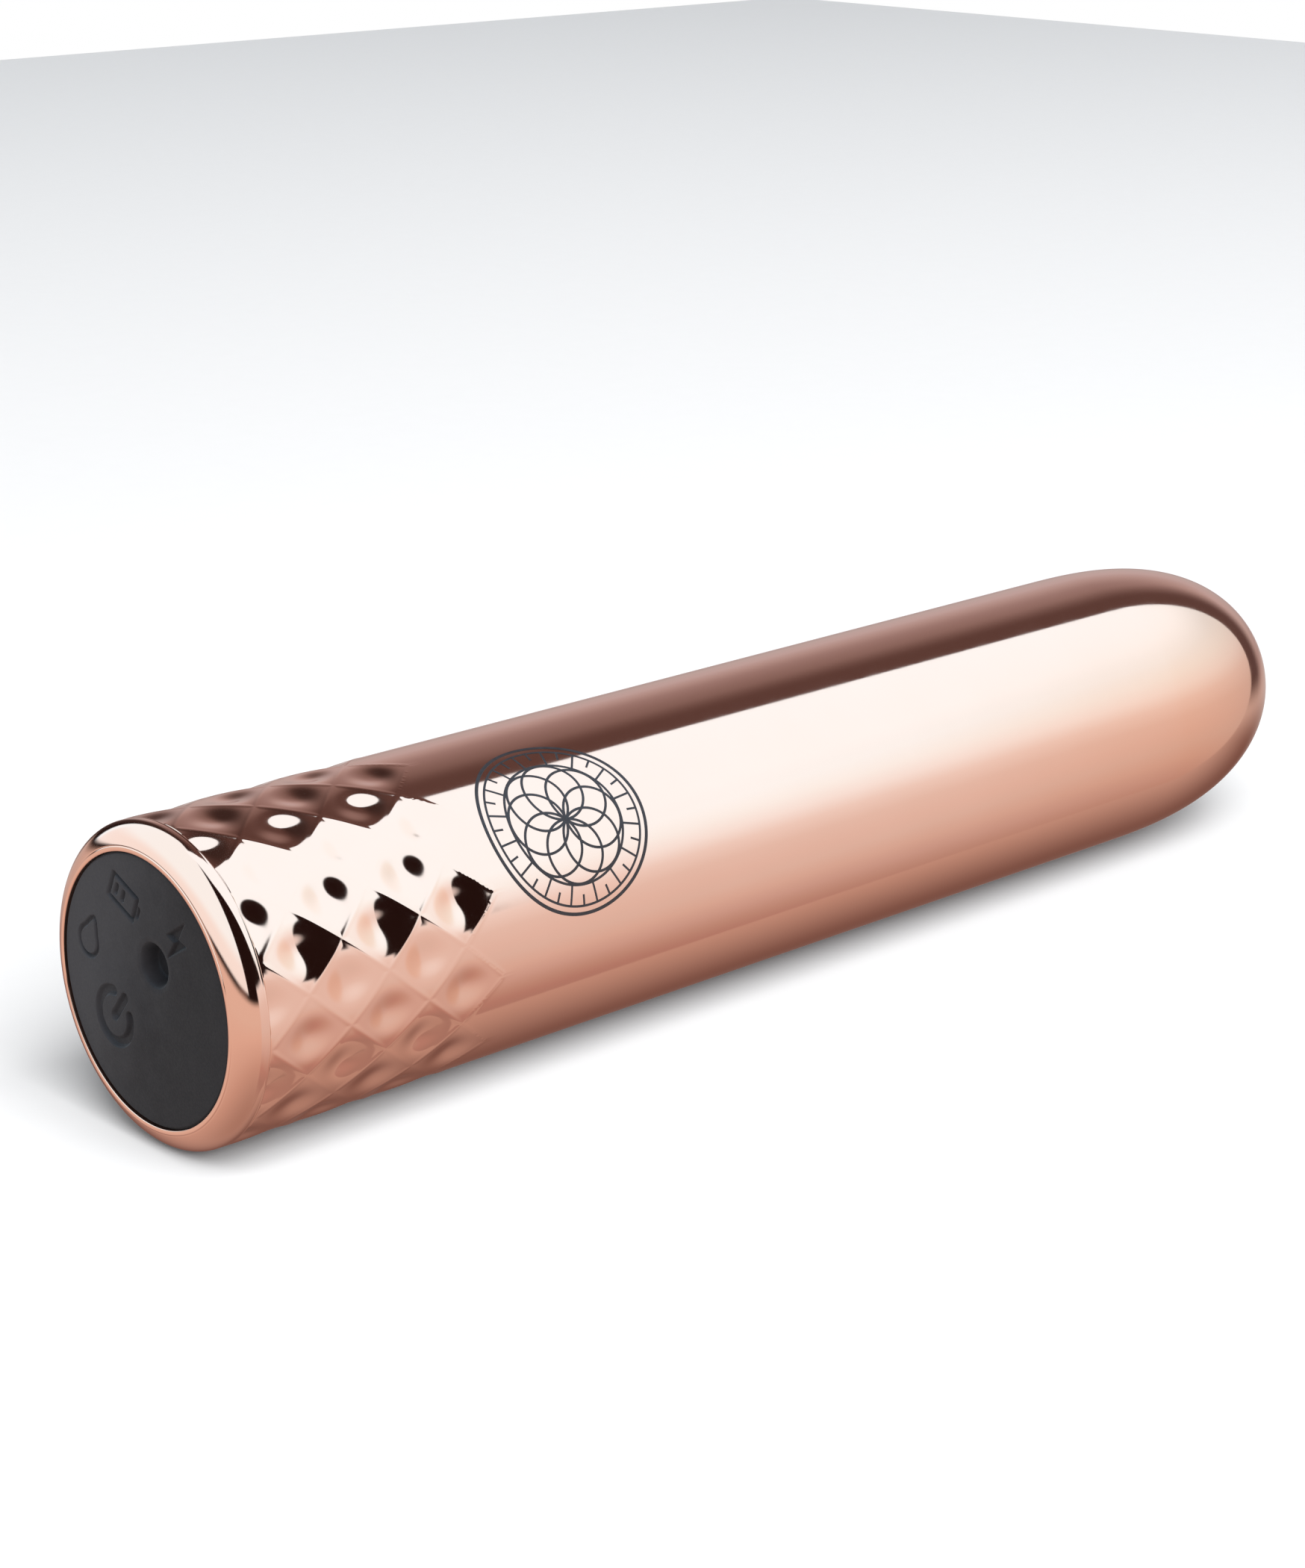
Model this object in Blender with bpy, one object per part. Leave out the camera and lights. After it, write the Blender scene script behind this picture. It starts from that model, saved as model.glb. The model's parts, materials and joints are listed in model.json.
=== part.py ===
"""Small rechargeable bullet massager lying on its side.

A plated bullet-shaped tube with a band of diamond scoops near the base end,
closed by a soft silicone end cap with a push button and a charging hole.
Inside: a sealed end plug, a round circuit board with a tactile switch and a
charging jack, a lithium cell in a two-part carrier, and a small motor that
turns an eccentric weight in the nose.

The tube's axis runs along X, base end at -X and nose at +X.  The tube lies on
z = 0.  Distances along the axis are written as s, in millimetres, measured
from the flat rim of the base end.
"""
import bpy
import bmesh
import math
from mathutils import Vector

MM = 0.001

# ---------------------------------------------------------------- dimensions
BODY_LENGTH = 100.0        # rim to nose
BODY_R = 10.0              # plain tube
TUBE_SEGMENTS = 48         # facets round the tube, one of them facing down
BAND_R = 9.975             # collar and ridge nodes
DOME_LENGTH = 18.36        # nose, from the end of the straight tube
DOME_POWER = 2.56          # superellipse exponent of the nose
RIM_INNER_R = 8.36         # opening for the silicone cap
RIM_OUTER_R = 8.64         # outer edge of the flat rim
COLLAR_FILLET_S = 1.474    # where the collar's rounding reaches full radius
COLLAR_END = 1.816         # edge of the collar, where the diamond band starts
CELLS_ROUND = 12           # diamonds round the tube
CELLS_LONG = 3             # diamonds along the tube
CELL_LENGTH = 5.737        # one diamond, along the axis
SCOOP_DEPTH = 0.45
RIDGE_DIP = 0.10
BAND_ANGLE = 171.74        # angle of one row of half-step nodes, degrees
BORE_R = 8.36
BORE_WIDE_R = 8.7
GAP = 0.3

CAP_FACE = 0.30            # silicone face below the rim
BUTTON_YZ = (2.9, -2.4)    # button centre in the end face
BUTTON_R = 2.85
BUTTON_TRAVEL = 0.4
HOLE_YZ = (-1.04, 1.89)    # charging hole centre
HOLE_R = 1.15

PLUG_R = 8.06
SWITCH_SIZE = 4.0
BOARD_S = (11.3, 12.3)
BOARD_R = 7.6

CARRIER_S = (14.5, 65.5)
CARRIER_R = 8.3
CARRIER_IN_R = 6.9
BULKHEAD = 3.0
CARRIER_TOP_CUT = 3.6
SCREW_S = (16.0, 64.0)
SCREW_Y = 4.6

CELL_Z = -1.3              # the battery sits low in the tube
CELL_R = 5.2

CAN_R = 6.0
SHAFT_R = 0.75
WEIGHT_R = 5.2
WIRE_R = 0.35

X0 = -BODY_LENGTH / 2.0
AXIS_Z = BODY_R * math.cos(math.pi / TUBE_SEGMENTS)

# ------------------------------------------------------------------- helpers
for old in list(bpy.data.objects):
    bpy.data.objects.remove(old, do_unlink=True)


def P(s, y, z):
    """A point at s along the tube and (y, z) from its axis, in metres."""
    return Vector(((s + X0) * MM, y * MM, (z + AXIS_Z) * MM))


def material(name, color, roughness, metallic):
    mat = bpy.data.materials.get(name)
    if mat is None:
        mat = bpy.data.materials.new(name)
        mat.use_nodes = True
        bsdf = mat.node_tree.nodes["Principled BSDF"]
        bsdf.inputs["Base Color"].default_value = (*color, 1.0)
        bsdf.inputs["Roughness"].default_value = roughness
        bsdf.inputs["Metallic"].default_value = metallic
    return mat


ROSE_GOLD = ("rose_gold_plate", (0.86, 0.50, 0.38), 0.08, 1.0)
SILICONE = ("black_silicone", (0.035, 0.035, 0.038), 0.55, 0.0)
SILICONE_BTN = ("button_silicone", (0.035, 0.035, 0.038), 0.55, 0.0)
ABS_BLACK = ("black_abs", (0.03, 0.03, 0.03), 0.4, 0.0)
ABS_GREY = ("grey_abs", (0.30, 0.31, 0.32), 0.5, 0.0)
RUBBER_RED = ("seal_rubber", (0.45, 0.09, 0.05), 0.5, 0.0)
RUBBER_GREY = ("holder_rubber", (0.16, 0.16, 0.17), 0.7, 0.0)
BOARD = ("board_green", (0.03, 0.22, 0.09), 0.35, 0.0)
EPOXY = ("chip_epoxy", (0.02, 0.02, 0.022), 0.45, 0.0)
STEEL = ("steel", (0.62, 0.62, 0.63), 0.3, 1.0)
ZINC = ("zinc_screw", (0.55, 0.56, 0.58), 0.35, 1.0)
NICKEL = ("nickel_strip", (0.66, 0.62, 0.56), 0.3, 1.0)
BRASS = ("brass", (0.78, 0.57, 0.25), 0.25, 1.0)
COPPER = ("copper_wire", (0.72, 0.33, 0.16), 0.3, 1.0)
TUNGSTEN = ("weight_metal", (0.33, 0.32, 0.31), 0.4, 1.0)
MAGNET = ("ferrite", (0.07, 0.065, 0.06), 0.6, 0.0)
WRAP_BLUE = ("cell_wrap", (0.04, 0.16, 0.42), 0.3, 0.0)
FOAM = ("foam", (0.12, 0.12, 0.12), 0.9, 0.0)
LED_CLEAR = ("led_lens", (0.85, 0.84, 0.78), 0.15, 0.0)
WIRE_RED = ("wire_red", (0.55, 0.03, 0.02), 0.4, 0.0)
WIRE_BLACK = ("wire_black", (0.02, 0.02, 0.02), 0.4, 0.0)
WIRE_BLUE = ("wire_blue", (0.03, 0.10, 0.45), 0.4, 0.0)
CARBON = ("carbon_brush", (0.05, 0.05, 0.05), 0.7, 0.0)


def add(name, bm, mat, origin=None, parent=None, smooth=True):
    """Turn a bmesh in world metres into an object whose origin is given."""
    bmesh.ops.recalc_face_normals(bm, faces=bm.faces[:])
    origin = Vector((0.0, 0.0, 0.0)) if origin is None else origin
    base = Vector((0.0, 0.0, 0.0)) if parent is None else parent.location.copy()
    bmesh.ops.translate(bm, verts=bm.verts[:], vec=-origin)
    mesh = bpy.data.meshes.new(name)
    bm.to_mesh(mesh)
    bm.free()
    obj = bpy.data.objects.new(name, mesh)
    bpy.context.scene.collection.objects.link(obj)
    obj.location = origin - base
    if parent is not None:
        obj.parent = parent
    if mat is not None:
        mesh.materials.append(material(*mat))
    if smooth:
        mesh.shade_smooth()
        mesh.set_sharp_from_angle(angle=math.radians(35))
    return obj


def empty(name, location):
    obj = bpy.data.objects.new(name, None)
    bpy.context.scene.collection.objects.link(obj)
    obj.location = location
    obj.empty_display_size = 0.004
    return obj


def lathe(bm, profile, segments, centre=(0.0, 0.0), start=0.0, closed=False):
    """Turn (s, r) points round an axis parallel to X through centre."""
    rings = []
    for s, r in profile:
        if r <= 0.0:
            rings.append([bm.verts.new(P(s, *centre))])
        else:
            ring = []
            for k in range(segments):
                a = math.radians(start) + 2.0 * math.pi * k / segments
                ring.append(bm.verts.new(P(s, centre[0] + r * math.cos(a), centre[1] + r * math.sin(a))))
            rings.append(ring)
    pairs = list(zip(rings, rings[1:]))
    if closed:
        pairs.append((rings[-1], rings[0]))
    for low, high in pairs:
        strip(bm, low, high)
    if not closed:
        for ring in (rings[0], rings[-1]):
            if len(ring) > 2:
                bm.faces.new(ring)
    return bm


def strip(bm, low, high):
    n = max(len(low), len(high))
    for k in range(n):
        j = (k + 1) % n
        if len(low) == 1:
            bm.faces.new((low[0], high[k], high[j]))
        elif len(high) == 1:
            bm.faces.new((low[k], high[0], low[j]))
        else:
            bm.faces.new((low[k], high[k], high[j], low[j]))


def lathed(name, profile, segments, mat, centre=(0.0, 0.0), closed=False, origin=None, parent=None, start=0.0):
    return add(name, lathe(bmesh.new(), profile, segments, centre, start, closed), mat, origin, parent)


def prism(bm, outline, s0, s1):
    """Extrude a (y, z) outline along the axis from s0 to s1."""
    low = [bm.verts.new(P(s0, y, z)) for y, z in outline]
    face = bm.faces.new(low)
    out = bmesh.ops.extrude_face_region(bm, geom=[face])
    moved = [v for v in out["geom"] if isinstance(v, bmesh.types.BMVert)]
    bmesh.ops.translate(bm, verts=moved, vec=Vector(((s1 - s0) * MM, 0.0, 0.0)))
    return bm


def block(bm, s, y, z, turn=0.0, about=(0.0, 0.0)):
    """A box from ranges of s, y and z, turned about a line parallel to X."""
    c, w = math.cos(math.radians(turn)), math.sin(math.radians(turn))
    corners = [(y[0], z[0]), (y[1], z[0]), (y[1], z[1]), (y[0], z[1])]
    outline = [(about[0] + c * a - w * b, about[1] + w * a + c * b) for a, b in corners]
    return prism(bm, outline, s[0], s[1])


def boxed(name, s, y, z, mat, bevel=0.0, turn=0.0, about=(0.0, 0.0)):
    obj = add(name, block(bmesh.new(), s, y, z, turn, about), mat)
    if bevel > 0.0:
        mod = obj.modifiers.new("Bevel", "BEVEL")
        mod.width = bevel * MM
        mod.segments = 1
        mod.limit_method = "ANGLE"
    return obj


def cutter(name, bm):
    obj = add(name, bm, None, smooth=False)
    obj.hide_render = True
    obj.display_type = "WIRE"
    return obj


def cut(obj, tool):
    mod = obj.modifiers.new("Cut_" + tool.name, "BOOLEAN")
    mod.operation = "DIFFERENCE"
    mod.solver = "EXACT"
    mod.object = tool


def arc(radius, first, last, steps, centre=(0.0, 0.0)):
    """Points on a circle from one angle to another, in degrees."""
    pts = []
    for k in range(steps + 1):
        a = math.radians(first + (last - first) * k / steps)
        pts.append((centre[0] + radius * math.cos(a), centre[1] + radius * math.sin(a)))
    return pts


def upright(bm, s, y, radius, z0, z1, segments=12):
    """A cylinder standing along Z."""
    low, high = [], []
    for k in range(segments):
        a = 2.0 * math.pi * k / segments
        low.append(bm.verts.new(P(s + radius * math.cos(a), y + radius * math.sin(a), z0)))
        high.append(bm.verts.new(P(s + radius * math.cos(a), y + radius * math.sin(a), z1)))
    for k in range(segments):
        j = (k + 1) % segments
        bm.faces.new((low[k], low[j], high[j], high[k]))
    bm.faces.new(list(reversed(low)))
    bm.faces.new(high)
    return bm


# --------------------------------------------------------------- outer shell
def bowl(t):
    return 4.0 * t * (1.0 - t)


def scoop(i, j):
    """Depth of the diamond scoops at quarter steps i along and j round."""
    p, q = (i + j - 2) / 4.0, (i - j - 2) / 4.0
    whole_p, whole_q = math.floor(p), math.floor(q)
    centre = 2 * (whole_p + whole_q) + 4
    if centre > 4 * CELLS_LONG - 2:
        return 0.0
    fp, fq = bowl(p - whole_p), bowl(q - whole_q)
    fade = min(max((4 * CELLS_LONG - 2 - i) / 2.0, 0.0), 1.0)
    return SCOOP_DEPTH * fp * fq + RIDGE_DIP * fade * (fp + fq - 2.0 * fp * fq)


def outer_shell():
    bm = bmesh.new()
    n = TUBE_SEGMENTS
    step = 360.0 / n
    facet = -90.0 + step / 2.0                        # corners either side of straight down
    tube_start = facet + step * round((BAND_ANGLE - 360.0 - facet) / step)

    def ring(s, radius, start):
        out = []
        for k in range(n):
            r = radius(k) if callable(radius) else radius
            a = math.radians(start + step * k)
            out.append(bm.verts.new(P(s, r * math.cos(a), r * math.sin(a))))
        return out

    band_start = BAND_ANGLE - 360.0
    rings = [ring(0.0, RIM_INNER_R, band_start), ring(0.0, RIM_OUTER_R, band_start)]
    centre_r, half_s = 7.42, 1.655
    for t in (38.0, 48.0, 60.0, 75.0, 90.0):
        a = math.radians(t)
        rings.append(ring(COLLAR_FILLET_S - half_s * math.cos(a),
                          centre_r + (BAND_R - centre_r) * math.sin(a), band_start))
    rings.append(ring(COLLAR_END, BAND_R, band_start))
    first_band = len(rings)
    for i in range(4 * CELLS_LONG + 1):
        s = COLLAR_END + i * CELL_LENGTH / 4.0 + (0.04 if i == 0 else 0.0)
        rings.append(ring(s, lambda k, i=i: BAND_R - scoop(i, k), band_start))
    last_band = len(rings) - 1
    rings.append(ring(COLLAR_END + CELLS_LONG * CELL_LENGTH + 3.5, BODY_R, tube_start))
    dome_s = BODY_LENGTH - DOME_LENGTH
    rings.append(ring(dome_s, BODY_R, tube_start))
    for u in (0.22, 0.4, 0.55, 0.68, 0.79, 0.88, 0.945, 0.985):
        rings.append(ring(dome_s + DOME_LENGTH * u, BODY_R * (1.0 - u ** DOME_POWER) ** (1.0 / DOME_POWER), tube_start))
    rings.append([bm.verts.new(P(BODY_LENGTH, 0.0, 0.0))])
    for a in range(len(rings) - 1):
        low, high = rings[a], rings[a + 1]
        if first_band <= a < last_band:
            i = a - first_band
            for k in range(n):
                j = (k + 1) % n
                if (i - k) % 4 == 2:                  # ridge runs from (i, k) to (i + 1, k + 1)
                    bm.faces.new((low[k], high[k], high[j]))
                    bm.faces.new((low[k], high[j], low[j]))
                else:
                    bm.faces.new((low[k], high[k], low[j]))
                    bm.faces.new((high[k], high[j], low[j]))
        else:
            strip(bm, low, high)
    # the inside, from the nose back to the rim
    inner_s, inner_len = 82.0, 16.4
    inside = [[bm.verts.new(P(inner_s + inner_len, 0.0, 0.0))]]
    for u in (0.96, 0.86, 0.7, 0.5, 0.27):
        inside.append(ring(inner_s + inner_len * u, BORE_WIDE_R * (1.0 - u ** 2.5) ** 0.4, tube_start))
    inside.append(ring(inner_s, BORE_WIDE_R, tube_start))
    inside.append(ring(25.0, BORE_WIDE_R, tube_start))
    inside.append(ring(23.0, BORE_R, tube_start))
    inside.append(rings[0])
    for a in range(len(inside) - 1):
        strip(bm, inside[a], inside[a + 1])
    return add("outer_shell", bm, ROSE_GOLD)


outer_shell()

# ------------------------------------------------------ end cap and button
cap = lathed("silicone_end_cap",
             [(CAP_FACE, 0.0), (CAP_FACE, PLUG_R), (2.6, PLUG_R), (2.6, 7.3), (1.65, 7.3), (1.65, 0.0)],
             48, SILICONE, start=BAND_ANGLE)
cut(cap, cutter("cut_button_hole", lathe(bmesh.new(), [(-1.0, BUTTON_R + GAP), (4.0, BUTTON_R + GAP)], 32, BUTTON_YZ)))
cut(cap, cutter("cut_charge_hole", lathe(bmesh.new(), [(-1.0, HOLE_R), (4.0, HOLE_R)], 20, HOLE_YZ)))

button_axis = empty("button_axis", P(CAP_FACE, *BUTTON_YZ))
lathed("power_button",
       [(0.03, 0.0), (0.06, 1.0), (0.15, 2.0), (CAP_FACE, BUTTON_R), (1.5, BUTTON_R), (1.5, 1.4), (4.6, 1.4), (4.6, 0.0)],
       32, SILICONE_BTN, centre=BUTTON_YZ, origin=P(CAP_FACE, *BUTTON_YZ), parent=button_axis)

# ------------------------------------------------------------------ end plug
plug = lathed("end_plug",
              [(2.9, 0.0), (2.9, PLUG_R), (4.9, PLUG_R), (4.9, 7.1), (6.3, 7.1), (6.3, PLUG_R),
               (11.0, PLUG_R), (11.0, 6.4), (4.1, 6.4), (4.1, 0.0)], 48, ABS_BLACK, start=BAND_ANGLE)
cut(plug, cutter("cut_stem_hole", lathe(bmesh.new(), [(2.0, 1.75), (5.0, 1.75)], 20, BUTTON_YZ)))
cut(plug, cutter("cut_nozzle_hole", lathe(bmesh.new(), [(2.0, 2.2), (5.0, 2.2)], 20, HOLE_YZ)))
lathed("plug_o_ring",
       [(5.6 + 0.33 * math.cos(math.radians(22.5 + 45 * k)), 7.73 + 0.33 * math.sin(math.radians(22.5 + 45 * k))) for k in range(8)],
       40, RUBBER_RED, closed=True)

# ------------------------------------------------------- board and its parts
flat = 6.6
corner = math.degrees(math.asin(flat / BOARD_R))
board = arc(BOARD_R, 180.0 - corner, 360.0 + corner, 40)
add("circuit_board", prism(bmesh.new(), board, *BOARD_S), BOARD)
lathed("board_spacer_ring", [(12.6, 6.9), (12.6, CARRIER_R), (14.2, CARRIER_R), (14.2, 6.9)], 40, ABS_GREY, closed=True)

switch_turn = math.degrees(math.atan2(BUTTON_YZ[1], BUTTON_YZ[0]))
half = SWITCH_SIZE / 2.0
body = boxed("tact_switch_body", (7.2, 11.0), (-half, half), (-half, half), EPOXY, turn=switch_turn, about=BUTTON_YZ)
cut(body, cutter("cut_plunger_bore", lathe(bmesh.new(), [(6.0, 1.5), (9.6, 1.5)], 20, BUTTON_YZ)))
cover = boxed("tact_switch_cover", (6.6, 6.9), (-half, half), (-half, half), STEEL, turn=switch_turn, about=BUTTON_YZ)
cut(cover, cutter("cut_cover_hole", lathe(bmesh.new(), [(6.0, 1.5), (7.1, 1.5)], 20, BUTTON_YZ)))
plunger_axis = empty("plunger_axis", P(4.9, *BUTTON_YZ))
lathed("tact_switch_plunger", [(4.9, 0.0), (4.9, 1.1), (5.0, 1.2), (8.9, 1.2), (8.9, 0.0)], 20, ABS_BLACK,
       centre=BUTTON_YZ, origin=P(4.9, *BUTTON_YZ), parent=plunger_axis)

lathed("jack_nozzle", [(1.95, 1.25), (1.95, 1.8), (2.05, 1.9), (5.0, 1.9), (5.0, 1.25)], 20, NICKEL, centre=HOLE_YZ, closed=True)
lathed("charge_jack_body", [(5.3, 1.25), (5.3, 2.1), (11.0, 2.1), (11.0, 0.7), (10.0, 0.7), (10.0, 1.25)], 20,
       EPOXY, centre=HOLE_YZ, closed=True)
lathed("jack_center_pin", [(6.9, 0.0), (7.1, 0.4), (11.0, 0.4), (11.0, 0.0)], 12, BRASS, centre=HOLE_YZ)

boxed("controller_chip", (12.6, 14.0), (-2.0, 2.0), (-2.0, 1.9), EPOXY, 0.12)
boxed("charge_chip", (12.6, 13.7), (-5.0, -3.4), (-1.5, 1.5), EPOXY, 0.1)
boxed("driver_transistor", (12.6, 13.7), (3.4, 4.8), (-1.5, 1.5), EPOXY, 0.1)
boxed("flyback_diode", (12.6, 13.6), (-1.4, 1.4), (-4.6, -3.0), EPOXY, 0.1)
boxed("storage_capacitor", (12.6, 14.1), (-1.8, 1.8), (2.7, 4.3), BRASS, 0.1)
boxed("status_led", (10.2, 11.0), (-4.6, -3.4), (-3.2, -1.6), LED_CLEAR, 0.12)

# ------------------------------------------------------------------- carrier
lower = add("lower_carrier", prism(bmesh.new(), [
    (y, z) for y, z in arc(CARRIER_R, 181.04, 358.96, 22)], *CARRIER_S), ABS_GREY)
upper = add("upper_carrier", prism(bmesh.new(), [
    (y, z) for y, z in arc(CARRIER_R, 1.04, 178.96, 22)], *CARRIER_S), ABS_GREY)
pocket = cutter("cut_cell_pocket", lathe(bmesh.new(), [
    (CARRIER_S[0] + BULKHEAD, CARRIER_IN_R), (CARRIER_S[1] - BULKHEAD, CARRIER_IN_R)], 44, start=4.1))
side = math.degrees(math.asin(CARRIER_TOP_CUT / CARRIER_IN_R))
channel = cutter("cut_wire_channel", prism(bmesh.new(), arc(CARRIER_IN_R - 0.02, side, 180.0 - side, 16), 13.0, 67.0))
cut(lower, pocket)
cut(upper, pocket)
cut(upper, channel)
count = 0
for s in SCREW_S:
    for y in (-SCREW_Y, SCREW_Y):
        count += 1
        cut(lower, cutter("cut_pilot_%d" % count, upright(bmesh.new(), s, y, 0.85, -4.0, 1.0)))
        cut(upper, cutter("cut_clear_%d" % count, upright(bmesh.new(), s, y, 0.85, -1.0, 4.5)))
        cut(upper, cutter("cut_head_%d" % count, upright(bmesh.new(), s, y, 1.3, 2.4, 5.0)))
        bm = bmesh.new()
        rings = []
        for r, z in ((0.25, -3.5), (0.55, -2.9), (0.55, 2.7), (1.0, 2.7), (1.0, 3.1), (0.7, 3.4)):
            rings.append([bm.verts.new(P(s + r * math.cos(2 * math.pi * k / 12), y + r * math.sin(2 * math.pi * k / 12), z))
                          for k in range(12)])
        for low, high in zip(rings, rings[1:]):
            strip(bm, low, high)
        bm.faces.new(rings[0])
        bm.faces.new(rings[-1])
        add("carrier_screw_%d" % count, bm, ZINC)

# -------------------------------------------------------------------- battery
lathed("battery_cell", [(18.4, 0.0), (18.4, 5.0), (18.6, CELL_R), (61.0, CELL_R), (61.2, 5.0), (61.2, 1.6), (61.6, 1.6), (61.6, 0.0)],
       32, WRAP_BLUE, centre=(0.0, CELL_Z))
strip_shape = [(1.2, -2.4), (1.2, -0.6), (-2.4, -0.6), (-2.4, 4.0), (-4.2, 4.0), (-4.2, -2.4)]
add("battery_tab_negative", prism(bmesh.new(), strip_shape, 17.8, 18.1), NICKEL)
add("battery_tab_positive", prism(bmesh.new(), [(-y, z) for y, z in strip_shape], 61.9, 62.2), NICKEL)
boxed("battery_foam_pad", (26.0, 54.0), (-2.1, 2.1), (4.2, 5.9), FOAM, 0.25)

# ---------------------------------------------------------------------- motor
lathed("motor_end_cap", [(67.4, 0.0), (67.4, 5.6), (67.7, 5.9), (68.6, 5.9), (68.6, 0.0)], 32, ABS_BLACK)
boxed("motor_terminal_positive", (66.0, 67.1), (2.6, 4.0), (-1.0, 1.0), NICKEL)
boxed("motor_terminal_negative", (66.0, 67.1), (-4.0, -2.6), (-1.0, 1.0), NICKEL)
lathed("motor_can", [(68.9, 5.4), (68.9, CAN_R), (85.7, CAN_R), (86.0, 5.7), (86.0, 1.9), (85.4, 1.9), (85.4, 5.4)],
       32, STEEL, closed=True)
lathed("motor_holder_sleeve", [(70.0, 6.3), (70.0, 8.1), (70.25, 8.35), (81.25, 8.35), (81.5, 8.1), (81.5, 6.3)],
       36, RUBBER_GREY, closed=True)
for side_name, mid in (("left", 180.0), ("right", 0.0)):
    shape = arc(5.1, mid - 58.0, mid + 58.0, 12) + arc(4.2, mid + 58.0, mid - 58.0, 12)
    add("motor_magnet_" + side_name, prism(bmesh.new(), shape, 72.0, 83.0), MAGNET)
for side_name, sign in (("left", -1.0), ("right", 1.0)):
    ys = sorted((1.9 * sign, 3.4 * sign))
    boxed("motor_brush_" + side_name, (69.6, 70.8), ys, (-0.6, 0.6), CARBON)
lathed("motor_bush", [(84.8, 0.9), (84.8, 1.6), (87.0, 1.6), (87.0, 0.9)], 20, BRASS, closed=True)

# what turns: the empty lies on the motor's axis
spin_axis = empty("motor_spin_axis", P(77.5, 0.0, 0.0))
lathed("motor_shaft", [(68.9, 0.0), (68.9, SHAFT_R), (93.6, SHAFT_R), (93.6, 0.0)], 16, STEEL,
       origin=P(77.5, 0.0, 0.0), parent=spin_axis)
lathed("motor_commutator", [(69.3, 1.05), (69.3, 1.6), (71.3, 1.6), (71.3, 1.05)], 18, COPPER, closed=True,
       origin=P(77.5, 0.0, 0.0), parent=spin_axis)

core_outline = []
for pole in range(3):
    mid = 90.0 + 120.0 * pole
    neck = math.degrees(math.asin(0.8 / 1.7))
    tip_neck = math.degrees(math.asin(0.8 / 3.2))
    core_outline += arc(1.7, mid - 120.0 + neck, mid - neck, 3)
    core_outline += arc(3.2, mid - tip_neck, mid - 40.0, 2)
    core_outline += arc(3.9, mid - 40.0, mid + 40.0, 8)
    core_outline += arc(3.2, mid + 40.0, mid + tip_neck, 2)
bore = cutter("cut_rotor_bore", lathe(bmesh.new(), [(70.0, 1.05), (95.0, 1.05)], 16))
core = add("rotor_core", prism(bmesh.new(), core_outline, 72.5, 82.5), STEEL, P(77.5, 0.0, 0.0), spin_axis)
cut(core, bore)
for pole in range(3):
    mid = 90.0 + 120.0 * pole
    c, w = math.cos(math.radians(mid)), math.sin(math.radians(mid))
    bm = bmesh.new()
    loops = []
    for radial in (2.0, 2.6):
        for half_w, s0, s1 in ((1.1, 72.2, 82.8), (1.5, 71.6, 83.4)):
            loops.append([bm.verts.new(P(s, radial * c - t * w, radial * w + t * c))
                          for s, t in ((s0, -half_w), (s1, -half_w), (s1, half_w), (s0, half_w))])
    inner_low, outer_low, inner_high, outer_high = loops
    for a, b in ((inner_low, outer_low), (outer_low, outer_high), (outer_high, inner_high), (inner_high, inner_low)):
        strip(bm, a, b)
    add("rotor_winding_%d" % (pole + 1), bm, COPPER, P(77.5, 0.0, 0.0), spin_axis)

weight_outline = arc(2.0, -10.0, 190.0, 12) + arc(WEIGHT_R, 190.0, 350.0, 18)
weight = add("eccentric_weight", prism(bmesh.new(), weight_outline, 87.5, 93.2), TUNGSTEN, P(77.5, 0.0, 0.0), spin_axis)
cut(weight, bore)


# ---------------------------------------------------------------------- wires
def smooth_path(points, per_span):
    """Catmull-Rom points through the route's own points."""
    pts = [Vector(p) for p in points]
    pts = [2 * pts[0] - pts[1]] + pts + [2 * pts[-1] - pts[-2]]
    out = []
    for k in range(1, len(pts) - 2):
        a, b, c, d = pts[k - 1:k + 3]
        for m in range(per_span):
            t = m / per_span
            out.append(0.5 * ((2 * b) + (c - a) * t + (2 * a - 5 * b + 4 * c - d) * t * t + (3 * b - a - 3 * c + d) * t ** 3))
    out.append(pts[-2])
    return out


def wire(name, points, mat, per_span=2):
    curve = bpy.data.curves.new(name, "CURVE")
    curve.dimensions = "3D"
    path = smooth_path(points, per_span)
    spline = curve.splines.new("POLY")
    spline.points.add(len(path) - 1)
    for k, p in enumerate(path):
        spline.points[k].co = (*P(*p), 1.0)
    curve.bevel_depth = WIRE_R * MM
    curve.bevel_resolution = 2
    curve.use_fill_caps = True
    curve.materials.append(material(*mat))
    obj = bpy.data.objects.new(name, curve)
    bpy.context.scene.collection.objects.link(obj)
    return obj


wire("wire_battery_positive", [(12.6, 3.3, 5.2), (24.0, 3.3, 5.2), (42.0, 3.3, 5.2), (58.0, 3.3, 5.2), (61.0, 3.3, 5.15), (62.0, 3.3, 4.4)], WIRE_RED)
wire("wire_battery_negative", [(12.6, -3.3, 5.2), (15.0, -3.3, 5.2), (17.0, -3.3, 5.15), (18.0, -3.3, 4.4)], WIRE_BLACK)
for sign, label, mat in ((1.0, "positive", WIRE_RED), (-1.0, "negative", WIRE_BLUE)):
    wire("wire_motor_" + label, [(12.6, 4.6 * sign, 4.4), (30.0, 4.6 * sign, 4.4), (50.0, 4.6 * sign, 4.4), (63.5, 4.6 * sign, 4.4),
                                 (65.6, 4.5 * sign, 4.1), (66.4, 3.9 * sign, 2.9), (66.55, 3.4 * sign, 1.35)], mat)
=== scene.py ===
import bpy
import json
import math
import numpy as np
from mathutils import Matrix, Vector


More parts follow.
